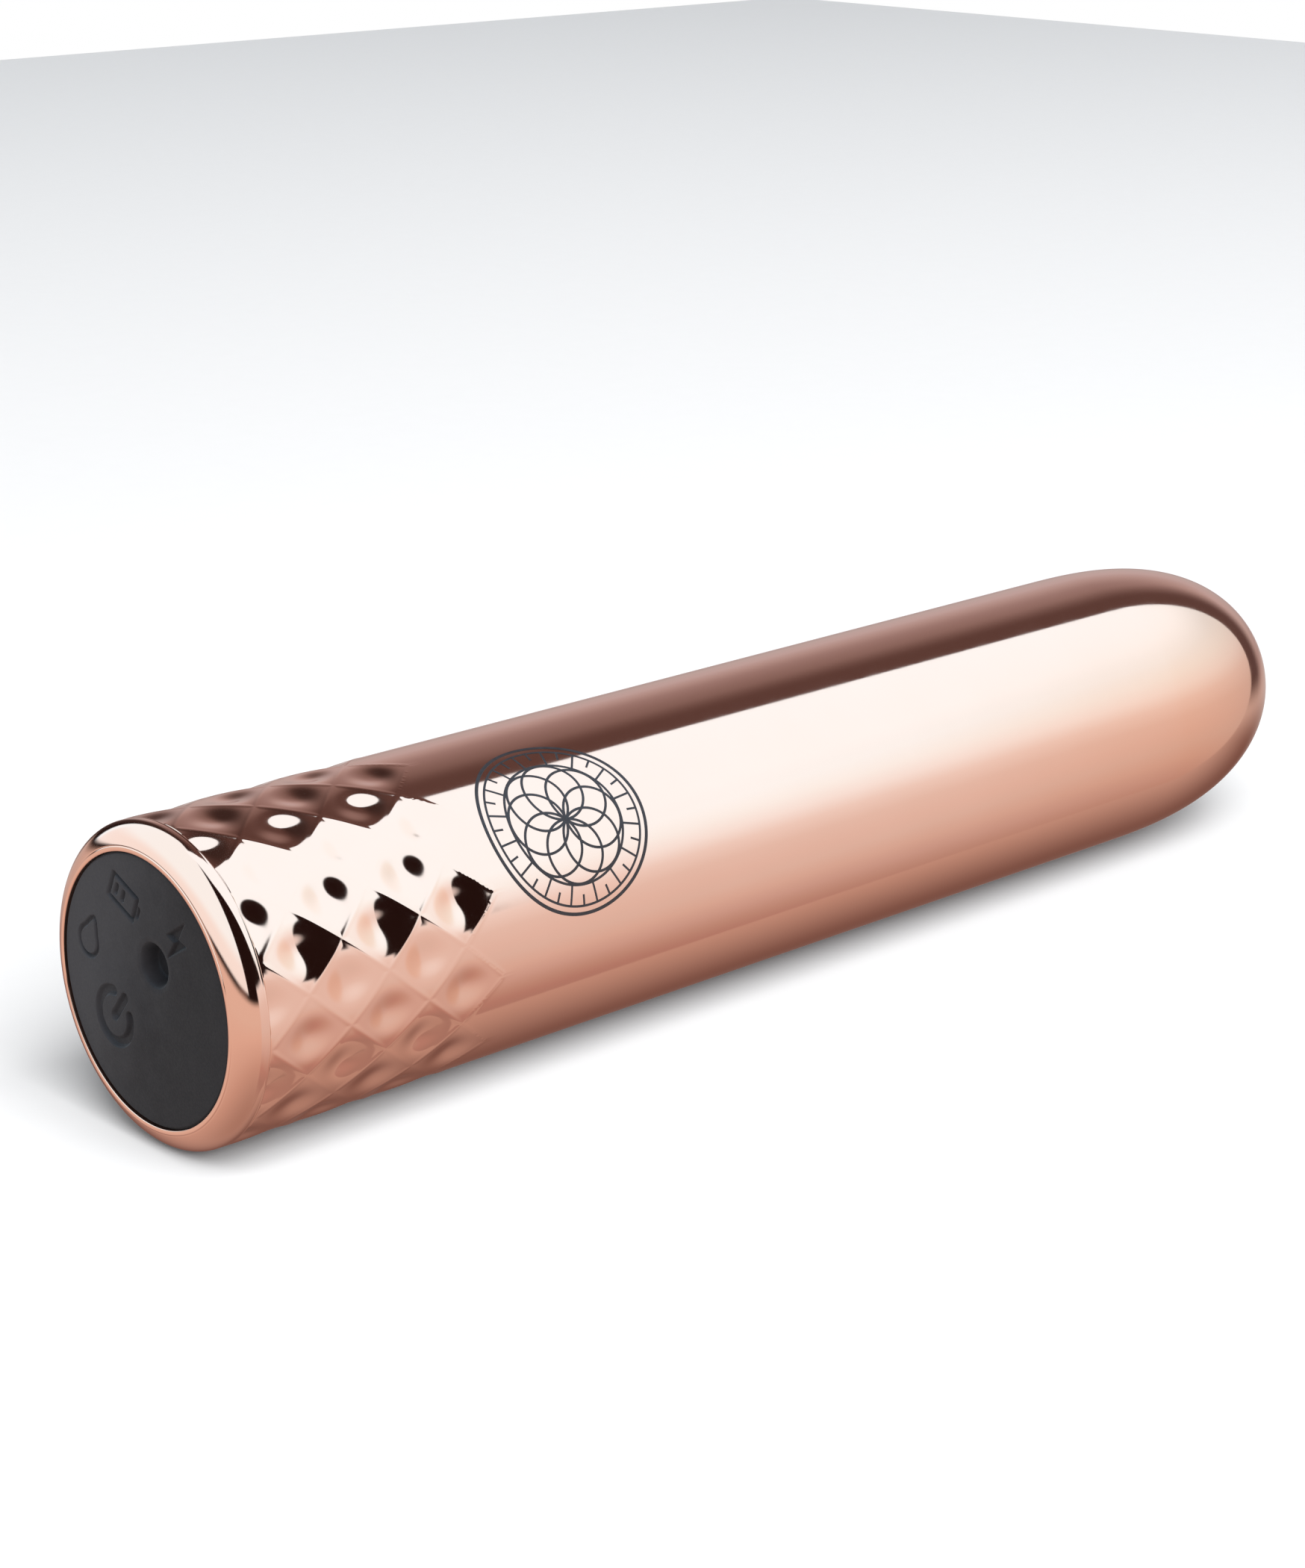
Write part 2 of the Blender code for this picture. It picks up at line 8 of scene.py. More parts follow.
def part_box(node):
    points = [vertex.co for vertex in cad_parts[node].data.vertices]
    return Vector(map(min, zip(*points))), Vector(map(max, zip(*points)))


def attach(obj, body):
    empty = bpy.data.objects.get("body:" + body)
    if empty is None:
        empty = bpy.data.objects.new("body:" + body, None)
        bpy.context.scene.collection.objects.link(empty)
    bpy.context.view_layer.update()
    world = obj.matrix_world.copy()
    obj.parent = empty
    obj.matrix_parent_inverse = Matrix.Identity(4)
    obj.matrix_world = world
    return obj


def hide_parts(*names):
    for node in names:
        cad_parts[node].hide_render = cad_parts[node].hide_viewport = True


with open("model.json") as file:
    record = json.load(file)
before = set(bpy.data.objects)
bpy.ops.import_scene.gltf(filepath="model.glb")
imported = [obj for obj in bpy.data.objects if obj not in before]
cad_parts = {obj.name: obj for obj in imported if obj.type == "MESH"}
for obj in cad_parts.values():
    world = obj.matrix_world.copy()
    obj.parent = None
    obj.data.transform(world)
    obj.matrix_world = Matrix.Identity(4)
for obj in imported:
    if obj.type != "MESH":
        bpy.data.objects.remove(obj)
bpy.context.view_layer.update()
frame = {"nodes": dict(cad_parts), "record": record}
nodes = frame["nodes"]


MM = 0.001
R = 9.97859                # tube radius, so that the round tube touches the floor
LENGTH = 100.0
DOME_LENGTH = 18.36
DOME_POWER = 2.56
COLLAR_END = 1.816
CELLS_ROUND = 12
CELLS_LONG = 3
CELL_LENGTH = 5.737
BAND_ANGLE = math.radians(171.74)
SCOOP_DEPTH = 0.272
BEAD = 0.018                # raised line along the ridges
FINE = 72                   # mesh steps in one diamond
BUTTON_YZ = (2.9, -2.4)
HOLE_YZ = (-1.04, 1.89)


# ------------------------------------------------------------------ helpers
def to_world(s, y, z):
    """Points from (distance along the axis, y, z from the axis) in mm to metres."""
    return np.stack([(np.asarray(s) - LENGTH / 2.0) * MM,
                     np.asarray(y) * MM,
                     (np.asarray(z) + R) * MM], axis=-1)


def make(name, verts, faces, mats, smooth=True):
    mesh = bpy.data.meshes.new(name)
    mesh.from_pydata([tuple(v) for v in np.asarray(verts, float)], [], [tuple(int(i) for i in f) for f in faces])
    mesh.validate()
    for m in mats:
        mesh.materials.append(m)
    if smooth:
        mesh.polygons.foreach_set("use_smooth", np.ones(len(mesh.polygons), bool))
    mesh.update()
    obj = bpy.data.objects.new(name, mesh)
    bpy.context.scene.collection.objects.link(obj)
    return obj


def smoothstep(x, a, b):
    t = np.clip((x - a) / (b - a), 0.0, 1.0)
    return t * t * (3.0 - 2.0 * t)


def ring_faces(a, b, n):
    """Quads between two rings of n vertices that start at a and b."""
    k = np.arange(n)
    j = (k + 1) % n
    return np.stack([a + k, b + k, b + j, a + j], axis=1).tolist()


def fan(ring, centre, n, flip=False):
    k = np.arange(n)
    j = (k + 1) % n
    f = np.stack([ring + k, np.full(n, centre), ring + j], axis=1)
    return (f[:, ::-1] if flip else f).tolist()


# -------------------------------------------------------------------- camera
camera_data = bpy.data.cameras.new("camera")
camera = bpy.data.objects.new("camera", camera_data)
bpy.context.scene.collection.objects.link(camera)
right = Vector((0.735737, -0.677267, 0.0)).normalized()
forward = Vector((0.643309, 0.698847, -0.312676)).normalized()
up = right.cross(forward).normalized()
camera.matrix_world = Matrix(((right.x, up.x, -forward.x, -0.147457),
                              (right.y, up.y, -forward.y, -0.149489),
                              (right.z, up.z, -forward.z, 0.080603),
                              (0.0, 0.0, 0.0, 1.0)))
camera_data.lens = 74.94
camera_data.sensor_width = 36.0
camera_data.clip_start = 0.01
camera_data.clip_end = 100.0
bpy.context.scene.camera = camera
bpy.context.scene.view_settings.view_transform = "Standard"


# --------------------------------------------------------------- node helper
class Graph:
    """Short names for shader nodes."""

    def __init__(self, tree):
        self.tree = tree
        tree.nodes.clear()

    def node(self, kind, **settings):
        n = self.tree.nodes.new(kind)
        for key, value in settings.items():
            setattr(n, key, value)
        return n

    def put(self, socket, value):
        if isinstance(value, bpy.types.NodeSocket):
            self.tree.links.new(value, socket)
        elif value is not None:
            socket.default_value = value

    def math(self, op, a, b=None, c=None, clamp=False):
        n = self.node("ShaderNodeMath", operation=op, use_clamp=clamp)
        for socket, value in zip(n.inputs, (a, b, c)):
            self.put(socket, value)
        return n.outputs[0]

    def dot(self, vector, const):
        n = self.node("ShaderNodeVectorMath", operation="DOT_PRODUCT")
        self.put(n.inputs[0], vector)
        self.put(n.inputs[1], const)
        return n.outputs["Value"]

    def step(self, x, low, high, to_low=0.0, to_high=1.0):
        """Smooth step from to_low at low to to_high at high."""
        n = self.node("ShaderNodeMapRange", interpolation_type="SMOOTHSTEP", clamp=True)
        if low > high:
            low, high, to_low, to_high = high, low, to_high, to_low
        for socket, value in zip(n.inputs, (x, low, high, to_low, to_high)):
            self.put(socket, value)
        return n.outputs[0]

    def line(self, x, low, high, to_low=0.0, to_high=1.0):
        n = self.node("ShaderNodeMapRange", interpolation_type="LINEAR", clamp=True)
        for socket, value in zip(n.inputs, (x, low, high, to_low, to_high)):
            self.put(socket, value)
        return n.outputs[0]

    def ramp(self, fac, stops, kind="LINEAR"):
        n = self.node("ShaderNodeValToRGB")
        n.color_ramp.interpolation = kind
        el = n.color_ramp.elements
        while len(el) < len(stops):
            el.new(0.5)
        for e, (pos, col) in zip(el, stops):
            e.position = pos
            e.color = (*col, 1.0) if len(col) == 3 else col
        self.put(n.inputs[0], fac)
        return n.outputs[0]

    def mix(self, fac, a, b, blend="MIX"):
        n = self.node("ShaderNodeMix", data_type="RGBA", blend_type=blend)
        self.put(n.inputs[0], fac)
        for socket, value in ((n.inputs[6], a), (n.inputs[7], b)):
            if isinstance(value, (tuple, list)):
                value = (*value, 1.0) if len(value) == 3 else value
            self.put(socket, value)
        return n.outputs[2]

    def scale(self, colour, k):
        n = self.node("ShaderNodeVectorMath", operation="SCALE")
        self.put(n.inputs[0], colour)
        self.put(n.inputs["Scale"], k)
        return n.outputs[0]

    def noise(self, vector, size_mm, detail=2.0, rough=0.5, distortion=0.0):
        """Noise whose features are about size_mm across, on object coordinates in metres."""
        n = self.node("ShaderNodeTexNoise")
        self.put(n.inputs["Vector"], vector)
        n.inputs["Scale"].default_value = 1.0 / (size_mm * MM)
        n.inputs["Detail"].default_value = detail
        n.inputs["Roughness"].default_value = rough
        n.inputs["Distortion"].default_value = distortion
        return n.outputs["Fac"]


# ----------------------------------------------------------- studio and floor
def studio_world():
    world = bpy.data.worlds.new("studio")
    bpy.context.scene.world = world
    world.use_nodes = True
    world.cycles.sampling_method = "NONE"
    g = Graph(world.node_tree)
    d = g.node("ShaderNodeTexCoord").outputs["Generated"]
    n = g.node("ShaderNodeVectorMath", operation="NORMALIZE")
    g.put(n.inputs[0], d)
    d = n.outputs[0]
    xyz = g.node("ShaderNodeSeparateXYZ")
    g.put(xyz.inputs[0], d)
    dx, dy, dz = xyz.outputs

    # large softbox on the -Y side; its edge against the dark flag is a straight line
    u = g.dot(d, (0.088, 0.943, -0.319))
    left = g.dot(d, (-0.791, -0.596, -0.135))
    high = g.line(dz, -0.80, 0.80)                      # 0.5 at the horizon
    soft = g.ramp(high, [
        (0.00, (0.50, 0.36, 0.34)), (0.062, (0.58, 0.40, 0.38)), (0.098, (0.64, 0.50, 0.47)),
        (0.150, (0.73, 0.63, 0.63)), (0.213, (0.81, 0.75, 0.75)), (0.285, (0.84, 0.84, 0.87)),
        (0.36, (0.88, 0.88, 0.92)), (0.45, (0.91, 0.95, 1.01)), (0.54, (1.00, 1.14, 1.27)),
        (0.62, (1.10, 1.46, 1.74)), (0.70, (1.14, 1.68, 2.06)), (0.78, (1.18, 1.82, 2.30)), (1.0, (1.20, 1.82, 2.32)),
    ])
    fade = g.math("MULTIPLY", g.line(dy, -0.65, -0.05, 0.0, 0.20), g.step(dz, 0.60, 0.40))
    soft = g.scale(soft, g.math("SUBTRACT", 1.0, fade))
    far = g.math("MULTIPLY", g.step(dx, 0.69, 0.78), g.step(dz, 0.80, 0.30))
    soft = g.mix(far, soft, g.mix(1.0, soft, (0.98, 0.87, 0.79), "MULTIPLY"))

    # floor seen in the metal: warm, darker close to the tube on the +Y side
    down = g.math("MULTIPLY", dz, -1.0)
    floor = g.ramp(down, [
        (0.0, (0.88, 0.80, 0.77)), (0.26, (0.86, 0.79, 0.76)), (0.42, (0.84, 0.72, 0.68)), (0.57, (0.75, 0.62, 0.58)),
        (0.70, (0.66, 0.52, 0.48)), (0.90, (0.52, 0.40, 0.37)), (1.0, (0.46, 0.34, 0.31)),
    ])
    near = g.dot(d, (0.7071, 0.7071, 0.0))
    shade = g.math("MULTIPLY", g.step(near, 0.12, 0.80), g.step(down, 0.22, 0.45, 0.35, 0.95))
    floor = g.mix(shade, floor, (0.190, 0.088, 0.066))

    # the +X +Y quarter: a mid-grey wall beyond a dark flag
    wall = g.ramp(high, [
        (0.30, (0.58, 0.50, 0.49)), (0.42, (0.46, 0.37, 0.36)), (0.50, (0.55, 0.49, 0.49)), (0.60, (0.58, 0.53, 0.56)),
        (0.68, (0.50, 0.44, 0.46)), (0.75, (0.38, 0.32, 0.34)), (0.86, (0.26, 0.21, 0.22)), (0.96, (0.13, 0.09, 0.09)), (1.0, (0.10, 0.06, 0.06)),
    ])
    wall = g.mix(g.step(u, 0.13, 0.36), (0.125, 0.085, 0.085), wall)
    wall = g.mix(g.step(dx, 0.58, 0.36), wall, (0.05, 0.035, 0.035))

    white = (1.12, 1.70, 2.12)
    behind = g.math("MULTIPLY", g.step(g.dot(d, (0.947, 0.0, -0.323)), 0.01, -0.05),
                    g.step(g.dot(d, (-0.798, 0.6, -0.06)), -0.02, 0.02))
    behind = g.math("MULTIPLY", behind, g.step(dz, 0.0, 0.06))
    white = g.mix(g.math("MULTIPLY", g.step(dz, 0.50, 0.20), g.step(dx, 0.0, -0.15)), white, (1.10, 1.42, 1.66))
    dark = (0.018, 0.010, 0.010)
    patch = g.math("MULTIPLY", g.step(g.dot(d, (-0.80, -0.56, 0.21)), 0.93, 0.985), 0.6)
    dark = g.mix(patch, dark, (0.30, 0.22, 0.21))

    # put the quarters together
    right_side = g.mix(g.step(down, 0.10, 0.30), wall, floor)
    upper_left = g.mix(behind, dark, white)
    # sectors round the vertical: 'front' holds the softbox, 'left' the dark side
    is_soft = g.math("MAXIMUM", g.step(left, 0.005, -0.035),
                     g.step(g.dot(d, (-0.800, -0.599, -0.042)), 0.006, -0.012))
    is_left = g.step(g.dot(d, (-0.62, -0.78, 0.0)), 0.0, 0.05)
    sky = g.mix(is_left, right_side, upper_left)
    lower = g.step(down, 0.0, 0.10)
    sky = g.mix(behind, sky, white)
    left_low = g.mix(lower, upper_left, floor)
    sky = g.mix(is_left, sky, left_low)
    back = g.step(g.dot(d, (0.45, 0.893, 0.0)), 0.30, -0.1)   # away from the +X +Y quarter
    other = g.mix(lower, g.mix(behind, dark, white), floor)
    sky = g.mix(g.step(dx, 0.30, 0.15), sky, other)
    front = g.mix(g.step(down, 0.80, 0.95), soft, floor)
    strip = g.math("MULTIPLY", g.step(dz, 0.17, 0.08), g.step(dx, 0.04, 0.16))
    is_soft = g.math("MAXIMUM", is_soft, strip)
    mask = g.math("MULTIPLY", g.step(u, 0.004, -0.004), is_soft)
    mask = g.math("MULTIPLY", mask, g.step(dx, -0.05, 0.05))
    sky = g.mix(mask, sky, front)

    path = g.node("ShaderNodeLightPath")
    bounced = g.math("GREATER_THAN", path.outputs["Diffuse Depth"], 0.5)
    sky = g.mix(bounced, sky, (0.16, 0.26, 0.35))
    even = g.mix(path.outputs["Is Glossy Ray"], (0.36, 0.36, 0.36), sky)
    final = g.mix(path.outputs["Is Camera Ray"], even, (1.0, 1.0, 1.0))
    bg = g.node("ShaderNodeBackground")
    g.put(bg.inputs["Color"], final)
    out = g.node("ShaderNodeOutputWorld")
    g.put(out.inputs["Surface"], bg.outputs[0])


studio_world()


def softbox(name, place, target, size, power):
    data = bpy.data.lights.new(name, "AREA")
    data.shape = "SQUARE"
    data.size = size
    data.energy = power
    obj = bpy.data.objects.new(name, data)
    bpy.context.scene.collection.objects.link(obj)
    obj.location = place
    obj.rotation_euler = (Vector(target) - Vector(place)).to_track_quat("-Z", "Y").to_euler()
    obj.visible_camera = False
    obj.visible_glossy = False
    return obj


softbox("key_softbox", (-0.26, -0.92, 1.02), (0.0, 0.0, 0.0), 1.25, 36.0)


def paper_floor():
    mat = bpy.data.materials.new("studio_paper")
    mat.use_nodes = True
    g = Graph(mat.node_tree)
    p = g.node("ShaderNodeBsdfPrincipled")
    co = g.node("ShaderNodeTexCoord").outputs["Object"]
    g.put(p.inputs["Base Color"], g.mix(g.noise(co, 3.0, 3.0), (0.80, 0.80, 0.805), (0.815, 0.815, 0.82)))
    p.inputs["Roughness"].default_value = 0.6
    p.inputs["Specular IOR Level"].default_value = 0.15
    out = g.node("ShaderNodeOutputMaterial")
    g.put(out.inputs["Surface"], p.outputs[0])
    n, half = 12, 0.55
    line = np.linspace(-half, half, n + 1)
    verts = [(x, y, 0.0) for y in line for x in line]
    faces = [(r * (n + 1) + c, r * (n + 1) + c + 1, (r + 1) * (n + 1) + c + 1, (r + 1) * (n + 1) + c)
             for r in range(n) for c in range(n)]
    floor = make("studio_floor", verts, faces, [mat], smooth=False)
    floor.visible_glossy = False


paper_floor()


# ----------------------------------------------------------------- materials
def material(name):
    mat = bpy.data.materials.new(name)
    mat.use_nodes = True
    g = Graph(mat.node_tree)
    p = g.node("ShaderNodeBsdfPrincipled")
    out = g.node("ShaderNodeOutputMaterial")
    g.put(out.inputs["Surface"], p.outputs[0])
    co = g.node("ShaderNodeTexCoord").outputs["Object"]
    return mat, g, p, co


def bump(g, p, height, strength, distance_mm):
    b = g.node("ShaderNodeBump")
    b.inputs["Strength"].default_value = strength
    b.inputs["Distance"].default_value = distance_mm * MM
    g.put(b.inputs["Height"], height)
    g.put(p.inputs["Normal"], b.outputs[0])


def rose_gold():
    mat, g, p, co = material("rose_gold_plating")
    cloud = g.noise(co, 6.0, 3.0)
    g.put(p.inputs["Base Color"], g.mix(cloud, (0.850, 0.492, 0.362), (0.870, 0.508, 0.378)))
    p.inputs["Metallic"].default_value = 1.0
    haze = g.noise(co, 1.7, 4.0, 0.6)
    g.put(p.inputs["Roughness"], g.line(haze, 0.3, 0.75, 0.055, 0.085))
    peel = g.noise(co, 1.1, 2.0)
    bump(g, p, peel, 0.05, 0.02)
    return mat


def silicone(name, base, lift):
    """Matt silicone skin with dust in its grain and a painted highlight: its base colour turns lighter towards its
    upper, +Y side, where the light falls.
    """
    mat, g, p, co = material(name)
    fine = g.noise(co, 0.16, 3.0, 0.6)
    dust = g.noise(co, 1.4, 4.0, 0.55)
    tone = g.mix(g.line(dust, 0.35, 0.7), base, lift)
    # painted highlight: a ramp across the part that lightens the base colour towards the upper, +Y side, standing in
    # for light falling there; the dust noise only roughens its edge
    side = g.dot(co, (0.0, 0.93 / (8.0 * MM), 0.36 / (8.0 * MM)))
    centre = 0.36 * R / 8.0
    painted_light_ramp = g.math("ADD", side, g.line(dust, 0.3, 0.7, -0.10, 0.10))
    # painted highlight: blend towards the lighter lit colour (0.036, 0.034, 0.0375) along the ramp
    tone = g.mix(g.step(painted_light_ramp, centre - 0.50, centre + 0.95), tone, (0.0360, 0.0340, 0.0375))
    g.put(p.inputs["Base Color"], tone)
    g.put(p.inputs["Roughness"], g.line(fine, 0.3, 0.7, 0.56, 0.68))
    p.inputs["Specular IOR Level"].default_value = 0.20
    p.inputs["Sheen Weight"].default_value = 0.05
    p.inputs["Sheen Roughness"].default_value = 0.5
    bump(g, p, fine, 0.25, 0.02)
    return mat


ROSE = rose_gold()
CAP = silicone("black_silicone_skin", (0.0065, 0.0050, 0.0060), (0.0095, 0.0080, 0.0090))
BUTTON = silicone("button_silicone_skin", (0.0065, 0.0050, 0.0060), (0.0095, 0.0080, 0.0090))


# --------------------------------------------------------------------- shell
def cell_profile(t):
    """Height of the scoop's bowl across a cell, 0 on the ridges, 1 in the middle, with a rounded ridge."""
    f = t - np.floor(t)
    d = np.minimum(f, 1.0 - f)
    eps = 0.05
    e = np.minimum(np.sqrt(d * d + eps * eps) - eps, 0.5)
    return 0.12 * 4.0 * e * (1.0 - e) + 0.88 * np.sin(math.pi * d) ** 2


def ridge_bead(t):
    """1 on a ridge, falling to 0 about 0.2 mm beside it."""
    f = t - np.floor(t)
    d = np.minimum(f, 1.0 - f) * 3.86
    return np.exp(-(d / 0.17) ** 2)


def scoop_depth(s, angle):
    """Depth of the diamond band below the tube's radius, in mm."""
    a = (s - COLLAR_END) / CELL_LENGTH            # cells along
    b = (angle - BAND_ANGLE) / (2.0 * math.pi / CELLS_ROUND)
    p = a + b
    q = a - b
    # shift so that ridges fall on whole numbers
    p, q = p + 0.5, q + 0.5
    fp, fq = cell_profile(p), cell_profile(q)

    def included(cp, cq):
        return (np.floor(cp) + np.floor(cq)) / 2.0 <= CELLS_LONG - 0.5 + 1e-6

    inside = included(p, q) & (s > COLLAR_END)
    mirror_p = 2.0 * np.round(p) - p + 1e-7
    mirror_q = 2.0 * np.round(q) - q + 1e-7
    line = np.maximum(ridge_bead(p) * (included(p, q) | included(mirror_p, q)),
                      ridge_bead(q) * (included(p, q) | included(p, mirror_q)))
    line = line * smoothstep(s, COLLAR_END, COLLAR_END + 0.3)
    wave = 0.0022 * (np.sin(3.1 * s + 11.0 * angle) + np.sin(-2.3 * s + 17.0 * angle + 1.3)
                     + np.sin(1.6 * s - 23.0 * angle + 1.2 * np.sin(1.9 * s + 7.0 * angle)))
    return np.where(inside, SCOOP_DEPTH * fp * fq + wave * fp * fq, 0.0) - BEAD * line, inside


def outer_shell():
    cols = CELLS_ROUND * FINE
    angles = BAND_ANGLE + 2.0 * math.pi * np.arange(cols) / cols
    rows = []                                      # (s, radius) per column

    def flat(s, r):
        rows.append((np.full(cols, float(s)), np.full(cols, float(r))))

    # inside, from the nose to the rim
    dome_s = LENGTH - DOME_LENGTH
    inner = [(97.2, 0.0), (97.1, 2.2), (96.4, 4.6), (95.0, 6.4), (92.5, 7.8), (89.0, 8.45), (84.0, 8.68), (76.0, 8.7),
             (60.0, 8.7), (40.0, 8.7), (20.0, 8.7), (11.4, 8.7), (11.1, 8.36), (6.0, 8.36), (1.0, 8.36), (0.10, 8.36)]
    for s, r in inner:
        flat(s, r)
    # rim: flat bright lip, crease, rounded shoulder
    for s, r in [(0.05, 8.362), (0.018, 8.372), (0.0, 8.40), (0.0, 8.50), (0.0, 8.60), (0.010, 8.632), (0.035, 8.645)]:
        flat(s, r)
    for t in np.linspace(28.5, 90.0, 40):
        a = math.radians(t)
        s = 1.474 - 1.655 * math.cos(a)
        r = 7.42 + (R - 7.42) * math.sin(a)
        if s > 0.022:
            flat(s, r)
    # collar edge with a small bead
    for s, r in [(1.56, R), (1.62, R - 0.002), (1.68, R - 0.012), (1.72, R - 0.006), (1.755, R), (1.79, R - 0.004), (1.812, R - 0.028)]:
        flat(s, r)
    steps = CELLS_LONG * FINE
    for i in range(steps + 1):
        s = COLLAR_END + CELL_LENGTH * i / FINE
        grid_s = np.full(cols, s + (0.01 if i == 0 else 0.0))
        depth, _ = scoop_depth(np.full(cols, s + (1e-6 if i == 0 else 0.0)), angles)
        rows.append((grid_s, np.minimum(R - depth, R + BEAD)))
    s_end = COLLAR_END + CELL_LENGTH * CELLS_LONG
    for s in (s_end + 0.15, s_end + 1.0, 26.0, 33.0, 40.0, 47.0, 54.0, 61.0, 68.0, 75.0, 80.5):
        flat(s, R)
    for k in range(1, 73):
        a = math.radians(90.0 * k / 73.0)
        u = math.sin(a) ** (2.0 / DOME_POWER)
        flat(dome_s + DOME_LENGTH * u, R * math.cos(a) ** (2.0 / DOME_POWER))
    first = rows[0]
    verts = [to_world(97.2, 0.0, 0.0)[None, :]]
    faces = []
    starts = []
    count = 1
    for s, r in rows[1:]:
        starts.append(count)
        verts.append(to_world(s, r * np.cos(angles), r * np.sin(angles)))
        count += cols
    verts.append(to_world(LENGTH, 0.0, 0.0)[None, :])
    tip = count
    k = np.arange(cols)
    j = (k + 1) % cols
    faces += np.stack([np.full(cols, 0), starts[0] + k, starts[0] + j], axis=1).tolist()
    for a, b in zip(starts, starts[1:]):
        faces += ring_faces(a, b, cols)
    faces += np.stack([starts[-1] + k, np.full(cols, tip), starts[-1] + j], axis=1).tolist()
    shell = make("plated_shell", np.concatenate(verts), faces, [ROSE])
    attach(shell, "housing")
    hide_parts("outer_shell")
    return shell


shell = outer_shell()


# --------------------------------------------------------------- silicone cap
def mound(r):
    """Height of the raised pad at distance r from its centre; the cap and the button share it."""
    return 0.11 * (1.0 - smoothstep(r, 1.9, 4.3))


def segment_distance(y, z, a, b):
    ay, az = a
    by, bz = b
    dy, dz = by - ay, bz - az
    t = np.clip(((y - ay) * dy + (z - az) * dz) / (dy * dy + dz * dz), 0.0, 1.0)
    return np.hypot(y - ay - t * dy, z - az - t * dz)


def polygon_distance(y, z, pts):
    """Signed distance to a closed outline, negative inside."""
    d = np.full_like(y, 1e9)
    inside = np.zeros(y.shape, bool)
    for a, b in zip(pts, pts[1:] + pts[:1]):
        d = np.minimum(d, segment_distance(y, z, a, b))
        crosses = (a[1] > z) != (b[1] > z)
        with np.errstate(divide="ignore", invalid="ignore"):
            at = (b[0] - a[0]) * (z - a[1]) / (b[1] - a[1]) + a[0]
        inside ^= crosses & (y < at)
    return np.where(inside, -d, d)


def turned(pts, centre, degrees, size=1.0):
    """Glyph points drawn with x to the right and y up as seen from the base end, to (y, z)."""
    c, w = math.cos(math.radians(degrees)), math.sin(math.radians(degrees))
    return [(centre[0] - size * (c * x - w * v), centre[1] + size * (w * x + c * v)) for x, v in pts]


def sign_distance(y, z):
    """Generic signs pressed into the cap: a charging bolt, a battery level and a splash-proof drop."""
    d = np.full_like(y, 1e9)
    bolt = turned([(0.25, 1.35), (-0.78, -0.20), (-0.10, -0.16), (-0.32, -1.35), (0.80, 0.26), (0.10, 0.20)], (-3.45, 4.05), -24.0, 1.18)
    d = np.minimum(d, polygon_distance(y, z, bolt))
    frame_ = turned([(-1.35, -0.80), (1.2, -0.80), (1.2, 0.80), (-1.35, 0.80)], (1.75, 5.35), -24.0)
    d = np.minimum(d, np.abs(polygon_distance(y, z, frame_)) - 0.15)
    tip = turned([(1.52, -0.26), (1.52, 0.26)], (1.75, 5.35), -24.0)
    d = np.minimum(d, segment_distance(y, z, *tip) - 0.17)
    for x in (-0.78, -0.08):
        bar = turned([(x, -0.26), (x, 0.26)], (1.75, 5.35), -24.0)
        d = np.minimum(d, segment_distance(y, z, *bar) - 0.17)
    oy, oz = 5.75, 1.55
    drop = []
    for k in range(28):
        a = 2.0 * math.pi * k / 28.0
        point = math.exp(-((a - math.pi / 2.0) / 0.42) ** 2)
        rr = 0.95 + 0.85 * point
        drop.append((rr * math.cos(a) * (1.0 - 0.35 * point), rr * math.sin(a)))
    d = np.minimum(d, np.abs(polygon_distance(y, z, turned(drop, (oy, oz), -24.0))) - 0.15)
    return d


def cap():
    """A disc between the button's circle and the rim, with the charging hole as a dimple."""
    cols = 640
    angles = 2.0 * math.pi * np.arange(cols) / cols
    centre, inner_r, outer_r = BUTTON_YZ, 2.952, 8.34
    t = np.concatenate([[0.0, 0.0015], np.linspace(0.008, 0.985, 138), [0.990, 0.994, 0.998, 1.0]])
    spans = len(t)
    cy = centre[0] * (1 - t)
    cz = centre[1] * (1 - t)
    rr = inner_r + (outer_r - inner_r) * t
    y = cy[:, None] + rr[:, None] * np.cos(angles)[None, :]
    z = cz[:, None] + rr[:, None] * np.sin(angles)[None, :]
    rad = np.hypot(y, z)
    s = np.full_like(y, 0.14)
    s += 0.14 * smoothstep(rad, outer_r - 0.22, outer_r) ** 2
    hole = np.hypot(y - HOLE_YZ[0], z - HOLE_YZ[1])
    s += 1.0 * smoothstep(-hole, -1.42, -0.98) + 0.06 * smoothstep(-hole, -1.75, -1.30)
    slit = segment_distance(y, z, (HOLE_YZ[0] - 0.35, HOLE_YZ[1] - 0.5), (HOLE_YZ[0] + 0.35, HOLE_YZ[1] + 0.5))
    s += 0.14 * smoothstep(-slit, -0.14, -0.02) * (hole < 0.98)
    s -= mound(np.hypot(y - centre[0], z - centre[1]))
    s += 0.22 * smoothstep(-sign_distance(y, z), -0.04, 0.12)
    front = to_world(s, y, z).reshape(-1, 3)
    back = []
    for ss, r in [(0.30, 8.342), (0.9, 8.342), (1.4, 8.10), (1.6, 8.06), (2.6, 8.06), (2.6, 7.3), (1.66, 7.3)]:
        back.append(to_world(np.full(cols, ss), r * np.cos(angles), r * np.sin(angles)))
    for ss, r in [(1.66, 3.4), (1.60, 3.2), (0.9, 3.05), (0.30, 2.99), (0.16, 2.96)]:
        back.append(to_world(np.full(cols, ss), centre[0] + r * np.cos(angles), centre[1] + r * np.sin(angles)))
    verts = np.concatenate([front] + back)
    faces = []
    for i in range(spans - 1):
        faces += ring_faces((i + 1) * cols, i * cols, cols)
    last = (spans - 1) * cols
    for i in range(len(back)):
        faces += ring_faces((spans + i) * cols, last, cols)
        last = (spans + i) * cols
    faces += ring_faces(0, last, cols)
    obj = make("soft_end_cap", verts, faces, [CAP])
    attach(obj, "housing")
    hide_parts("silicone_end_cap")
    return obj


cap()


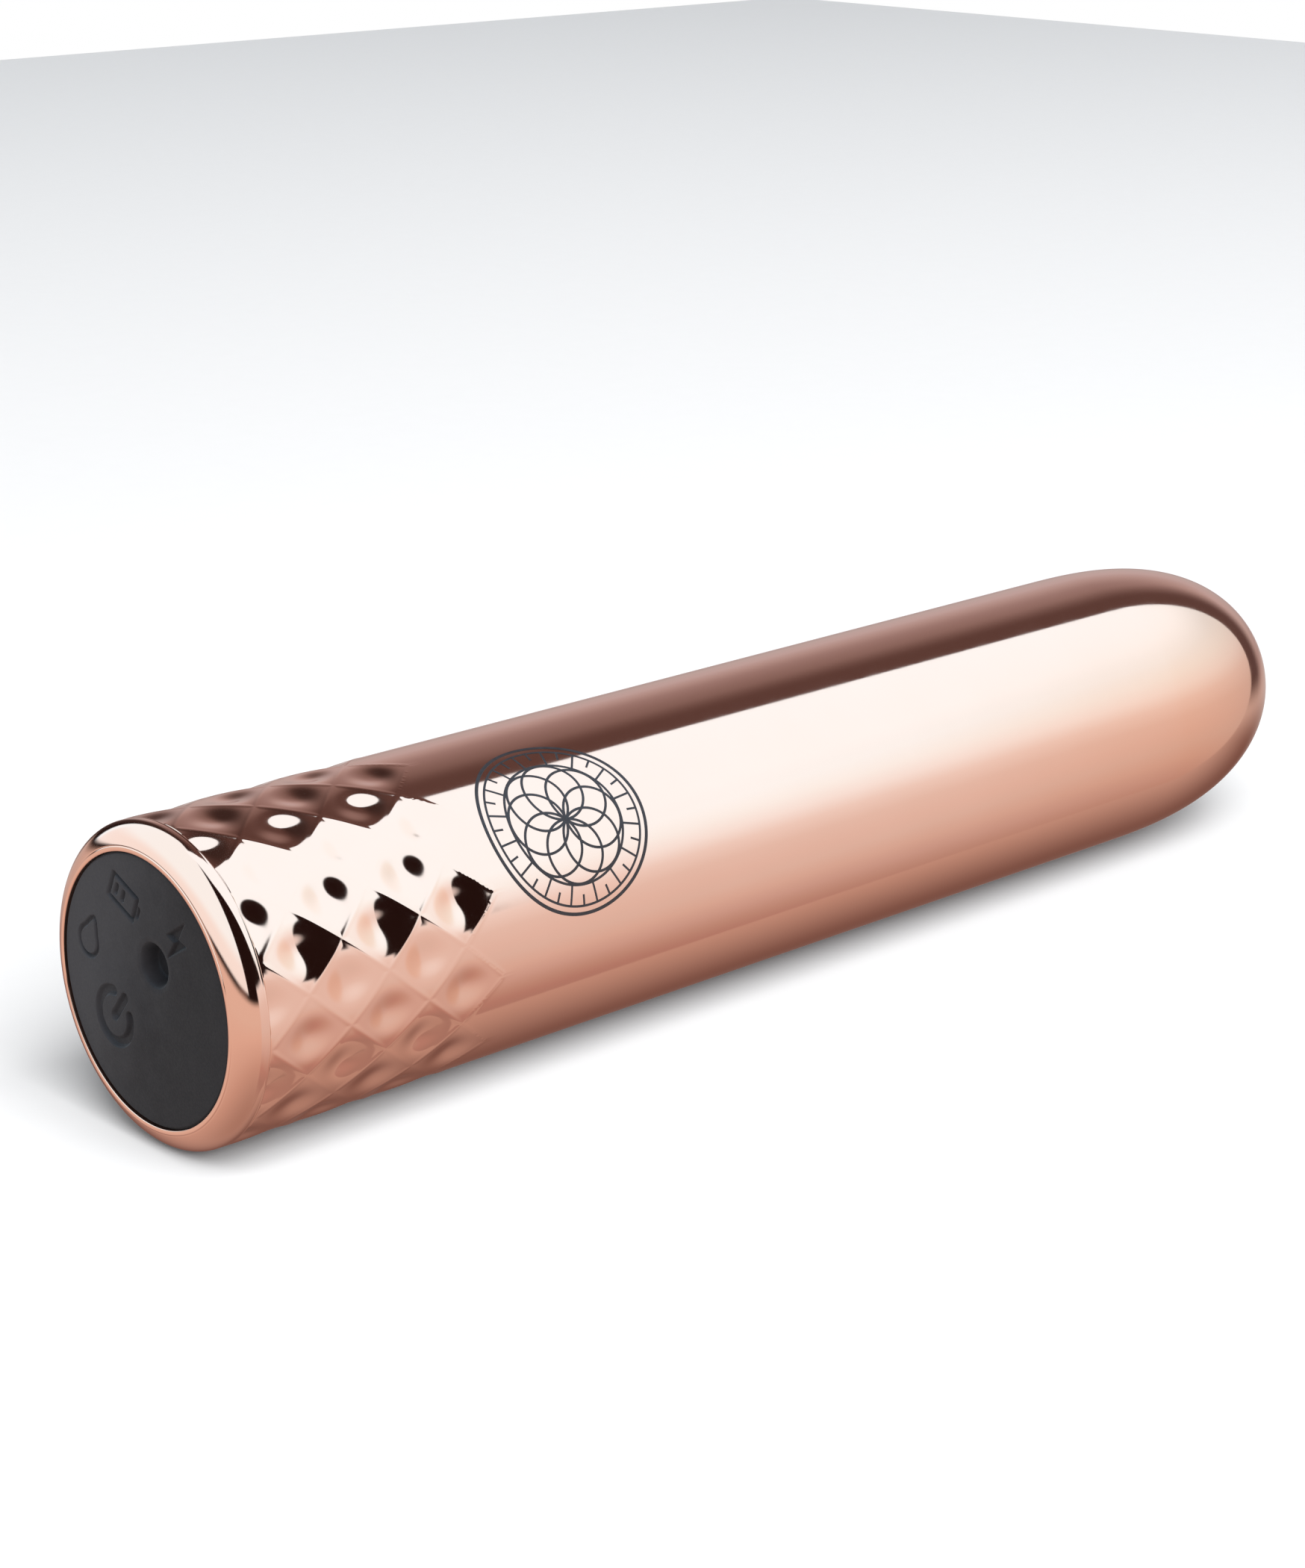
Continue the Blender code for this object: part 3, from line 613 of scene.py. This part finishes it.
def power_button():
    cols = 320
    angles = 2.0 * math.pi * np.arange(cols) / cols
    rr = np.concatenate([np.linspace(0.0, 2.93, 111)[1:], [2.943, 2.950]])
    spans = len(rr)
    y = rr[:, None] * np.cos(angles)[None, :]
    z = rr[:, None] * np.sin(angles)[None, :]
    s = 0.14 - mound(rr[:, None]) + 0.0 * y
    # power symbol, pressed in
    gy, gz = 3.2 - BUTTON_YZ[0], -2.45 - BUTTON_YZ[1]
    ry, rz = y - gy, z - gz
    gap = np.array([1.91 - 3.2, -0.85 + 2.45])
    gap /= np.linalg.norm(gap)
    rad = np.hypot(ry, rz)
    along = ry * gap[0] + rz * gap[1]
    across = -ry * gap[1] + rz * gap[0]
    ang = np.abs(np.arctan2(across, along))
    half_gap = math.radians(38.0)
    ring = np.abs(rad - 1.62) - 0.35
    end = np.stack([np.hypot(along - 1.62 * math.cos(half_gap), across - sgn * 1.62 * math.sin(half_gap)) for sgn in (-1, 1)]).min(0) - 0.35
    ring = np.where(ang > half_gap, ring, end)
    bar = np.hypot(across, np.clip(along, 0.05, 1.85) - along) - 0.34
    d = np.minimum(ring, bar)
    s = s + 0.26 * smoothstep(-d, -0.04, 0.18) * smoothstep(-rr[:, None], -2.9, -2.6)
    cy, cz = BUTTON_YZ
    front = to_world(s, y + cy, z + cz).reshape(-1, 3)
    side = []
    for ss, r in [(0.18, 2.935), (0.35, 2.90), (1.5, 2.85), (1.5, 1.4), (4.6, 1.4)]:
        side.append(to_world(np.full(cols, ss), cy + r * np.cos(angles), cz + r * np.sin(angles)))
    top = to_world(0.14 - mound(0.0), cy, cz)[None, :]
    end = to_world(4.6, cy, cz)[None, :]
    verts = np.concatenate([top, front] + side + [end])
    k = np.arange(cols)
    j = (k + 1) % cols
    faces = [(int(1 + a), int(1 + b), 0) for a, b in zip(j, k)]
    starts = [1 + i * cols for i in range(spans + len(side))]
    for a, b in zip(starts, starts[1:]):
        faces += ring_faces(b, a, cols)
    e = len(verts) - 1
    faces += [(int(starts[-1] + a), int(starts[-1] + b), e) for a, b in zip(k, j)]
    obj = make("power_button_skin", verts, faces, [BUTTON])
    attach(obj, "button")
    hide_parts("power_button")
    return obj


power_button()


# ------------------------------------------------------------ printed ornament
def ink():
    mat, g, p, co = material("emblem_ink")
    speck = g.noise(co, 0.35, 3.0, 0.6)
    g.put(p.inputs["Base Color"], g.mix(speck, (0.010, 0.008, 0.009), (0.030, 0.024, 0.026)))
    g.put(p.inputs["Roughness"], g.line(speck, 0.3, 0.7, 0.38, 0.55))
    p.inputs["Specular IOR Level"].default_value = 0.35
    bump(g, p, speck, 0.2, 0.004)
    return mat


def ornament():
    """A round line rosette, printed as thin ink lines that follow the tube."""
    s0, a0 = 26.0, math.radians(139.5)
    half_w = 0.09
    low, high = R - 0.030, R + 0.012
    verts, faces = [], []

    def stroke(pts, loop=False, half=half_w):
        pts = np.asarray(pts, float)
        if not loop:
            fine = []
            for a, b in zip(pts, pts[1:]):
                steps = max(1, int(np.linalg.norm(b - a) / 0.35))
                fine += [a + (b - a) * k / steps for k in range(steps)]
            pts = np.array(fine + [pts[-1]])
        n = len(pts)
        if loop:
            tang = np.roll(pts, -1, 0) - np.roll(pts, 1, 0)
        else:
            tang = np.gradient(pts, axis=0)
        tang /= np.linalg.norm(tang, axis=1)[:, None]
        side = np.stack([-tang[:, 1], tang[:, 0]], 1) * half
        base = len(verts)
        for p, q in zip(pts, side):
            for uv, radius in ((p + q, low), (p + q, high), (p - q, high), (p - q, low)):
                a = a0 + uv[1] / R
                verts.append(to_world(s0 + uv[0], radius * math.cos(a), radius * math.sin(a)))
        for k in range(n if loop else n - 1):
            i, j = base + 4 * k, base + 4 * ((k + 1) % n)
            for c in range(4):
                e = (c + 1) % 4
                faces.append((i + c, j + c, j + e, i + e))
        if not loop:
            faces.append((base, base + 1, base + 2, base + 3))
            last = base + 4 * (n - 1)
            faces.append((last + 3, last + 2, last + 1, last))

    def circle(cu, cv, r, n=72):
        return [(cu + r * math.cos(2 * math.pi * k / n), cv + r * math.sin(2 * math.pi * k / n)) for k in range(n)]

    stroke(circle(0, 0, 5.93, 120), True, 0.110)
    stroke(circle(0, 0, 5.45, 120), True, 0.075)
    for k in range(8):
        a = 2 * math.pi * k / 8 + 0.12
        stroke(circle(2.05 * math.cos(a), 2.05 * math.sin(a), 2.05, 64), True, 0.085)
    stroke(circle(0, 0, 4.15, 96), True, 0.080)
    for k in range(32):
        a = 2 * math.pi * (k + 0.5) / 32
        r0 = 4.15 if k % 2 else 4.75
        stroke([(r0 * math.cos(a), r0 * math.sin(a)), (5.45 * math.cos(a), 5.45 * math.sin(a))], half=0.07)
    obj = make("printed_rosette", np.array(verts), faces, [ink()], smooth=False)
    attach(obj, "housing")


ornament()


# ------------------------------------------------------------------- foam pad
def foam_pad():
    lo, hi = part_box("battery_foam_pad")
    nx, ny = 44, 16
    us = np.linspace(-1.0, 1.0, nx)
    vs = np.linspace(-1.0, 1.0, ny)
    verts, faces = [], []
    cx, cy, cz = ((np.array(lo) + np.array(hi)) / 2.0)
    hx, hy, hz = ((np.array(hi) - np.array(lo)) / 2.0)
    for face in (1.0, -1.0):
        for v in vs:
            for u in us:
                edge = (1.0 - abs(u) ** 14) * (1.0 - abs(v) ** 8)
                pull = 1.0 - 0.03 * (1.0 - abs(v))
                cell = 0.035 * math.sin(31.0 * u + 3.0 * math.sin(9.0 * v)) * math.sin(17.0 * v + 5.0 * u)
                height = hz * (0.62 + 0.36 * max(edge, 0.0) ** 0.35 + (cell * 0.6 if face > 0 else 0.0) * edge)
                verts.append((cx + hx * 0.985 * u * pull, cy + hy * 0.97 * v, cz + face * min(height, hz * 0.995)))
    n = nx * ny
    for f in (0, 1):
        for r in range(ny - 1):
            for c in range(nx - 1):
                q = [f * n + r * nx + c, f * n + r * nx + c + 1, f * n + (r + 1) * nx + c + 1, f * n + (r + 1) * nx + c]
                faces.append(q if f == 0 else q[::-1])
    rim = [c for c in range(nx)] + [r * nx + nx - 1 for r in range(1, ny)] + [(ny - 1) * nx + c for c in range(nx - 2, -1, -1)] + [r * nx for r in range(ny - 2, 0, -1)]
    for a, b in zip(rim, rim[1:] + rim[:1]):
        faces.append((a, a + n, b + n, b))
    mat, g, p, co = material("open_cell_foam")
    pores = g.noise(co, 0.5, 5.0, 0.7)
    g.put(p.inputs["Base Color"], g.mix(g.line(pores, 0.35, 0.65), (0.035, 0.036, 0.040), (0.085, 0.088, 0.095)))
    g.put(p.inputs["Roughness"], g.line(pores, 0.3, 0.7, 0.8, 0.98))
    bump(g, p, pores, 0.6, 0.15)
    obj = make("battery_foam_strip", verts, faces, [mat])
    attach(obj, "housing")
    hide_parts("battery_foam_pad")


foam_pad()


# ------------------------------------------------- materials of the inner parts
def worn(name, low, high, rough, metal=0.0, size=1.5, strength=0.15, deep=0.02, wave=None, spec=0.5, coat=0.0):
    """A moulded or machined surface: mottled colour, uneven roughness and a fine bump."""
    mat, g, p, co = material(name)
    blotch = g.noise(co, size, 4.0, 0.6)
    fine = g.noise(co, size * 0.12, 3.0, 0.6)
    colour = g.mix(g.line(blotch, 0.3, 0.7), low, high)
    height = fine
    if wave:
        w = g.node("ShaderNodeTexWave", wave_type=wave[0], bands_direction=wave[1]) if wave[0] == "BANDS" else g.node("ShaderNodeTexWave", wave_type="RINGS", rings_direction=wave[1])
        g.put(w.inputs["Vector"], co)
        w.inputs["Scale"].default_value = 1.0 / (wave[2] * MM)
        w.inputs["Distortion"].default_value = wave[3]
        colour = g.mix(g.math("MULTIPLY", w.outputs["Fac"], 0.25), colour, low)
        height = w.outputs["Fac"]
    g.put(p.inputs["Base Color"], colour)
    g.put(p.inputs["Roughness"], g.line(blotch, 0.3, 0.7, rough * 0.82, min(rough * 1.2, 1.0)))
    p.inputs["Metallic"].default_value = metal
    p.inputs["Specular IOR Level"].default_value = spec
    if coat:
        p.inputs["Coat Weight"].default_value = coat
        p.inputs["Coat Roughness"].default_value = 0.15
    bump(g, p, height, strength, deep)
    return mat


INNER = {
    "black_abs": worn("moulded_black_abs", (0.014, 0.014, 0.015), (0.026, 0.026, 0.028), 0.46, size=1.8),
    "grey_abs": worn("moulded_grey_abs", (0.20, 0.205, 0.215), (0.28, 0.285, 0.295), 0.48, size=2.2),
    "seal_rubber": worn("seal_rubber_dull", (0.30, 0.030, 0.022), (0.42, 0.050, 0.036), 0.62, size=0.9, deep=0.03),
    "holder_rubber": worn("damping_rubber", (0.020, 0.020, 0.022), (0.040, 0.040, 0.043), 0.75, size=0.8, strength=0.3, deep=0.04),
    "board_green": worn("solder_mask", (0.010, 0.095, 0.035), (0.018, 0.150, 0.055), 0.30, size=0.9, deep=0.01, coat=0.4),
    "chip_epoxy": worn("chip_moulding", (0.016, 0.016, 0.018), (0.034, 0.034, 0.037), 0.55, size=0.5, strength=0.35),
    "steel": worn("rolled_steel", (0.42, 0.43, 0.45), (0.60, 0.61, 0.62), 0.26, 1.0, size=2.4, deep=0.006),
    "zinc_screw": worn("zinc_plating", (0.52, 0.53, 0.50), (0.68, 0.69, 0.66), 0.30, 1.0, size=0.5, deep=0.01),
    "nickel_strip": worn("nickel_plate", (0.56, 0.54, 0.50), (0.70, 0.68, 0.63), 0.24, 1.0, size=1.1, deep=0.006),
    "brass": worn("turned_brass", (0.58, 0.40, 0.14), (0.78, 0.56, 0.22), 0.24, 1.0, size=0.7, deep=0.006),
    "copper_wire": worn("enamelled_copper", (0.42, 0.13, 0.05), (0.66, 0.24, 0.10), 0.30, 1.0, size=0.8, strength=0.6, deep=0.05, wave=("BANDS", "Z", 0.9, 0.4), coat=0.5),
    "weight_metal": worn("sintered_weight", (0.26, 0.26, 0.27), (0.40, 0.40, 0.41), 0.42, 1.0, size=0.6, strength=0.4, deep=0.03),
    "ferrite": worn("ferrite_magnet", (0.030, 0.030, 0.033), (0.060, 0.060, 0.066), 0.60, size=0.5, strength=0.4, deep=0.03),
    "cell_wrap": worn("cell_shrink_wrap", (0.020, 0.110, 0.300), (0.030, 0.160, 0.400), 0.28, size=3.0, deep=0.01, coat=0.3),
    "led_lens": worn("led_lens_resin", (0.75, 0.77, 0.78), (0.86, 0.88, 0.88), 0.14, size=0.6, deep=0.005),
    "wire_red": worn("red_insulation", (0.42, 0.018, 0.014), (0.55, 0.035, 0.026), 0.42, size=0.7),
    "wire_black": worn("black_insulation", (0.012, 0.012, 0.013), (0.026, 0.026, 0.028), 0.42, size=0.7),
    "wire_blue": worn("blue_insulation", (0.015, 0.060, 0.36), (0.030, 0.095, 0.48), 0.42, size=0.7),
    "carbon_brush": worn("pressed_carbon", (0.020, 0.020, 0.022), (0.050, 0.048, 0.048), 0.50, size=0.3, strength=0.4, deep=0.02),
}
INNER["rose_gold_plate"], INNER["black_silicone"], INNER["button_silicone"] = ROSE, CAP, BUTTON
INNER["foam"] = bpy.data.materials["open_cell_foam"]
by_node = {}
for m in frame["record"].get("materials", []):
    for n in m.get("nodes", []) or []:
        by_node[n] = m["slot"]
for name, obj in nodes.items():
    for k, slot_ in enumerate(obj.material_slots):
        key = by_node.get(name) or (slot_.material.name.split(".")[0] if slot_.material else "")
        if key in INNER:
            slot_.material = INNER[key]
        else:
            print("no finish for", name, key)
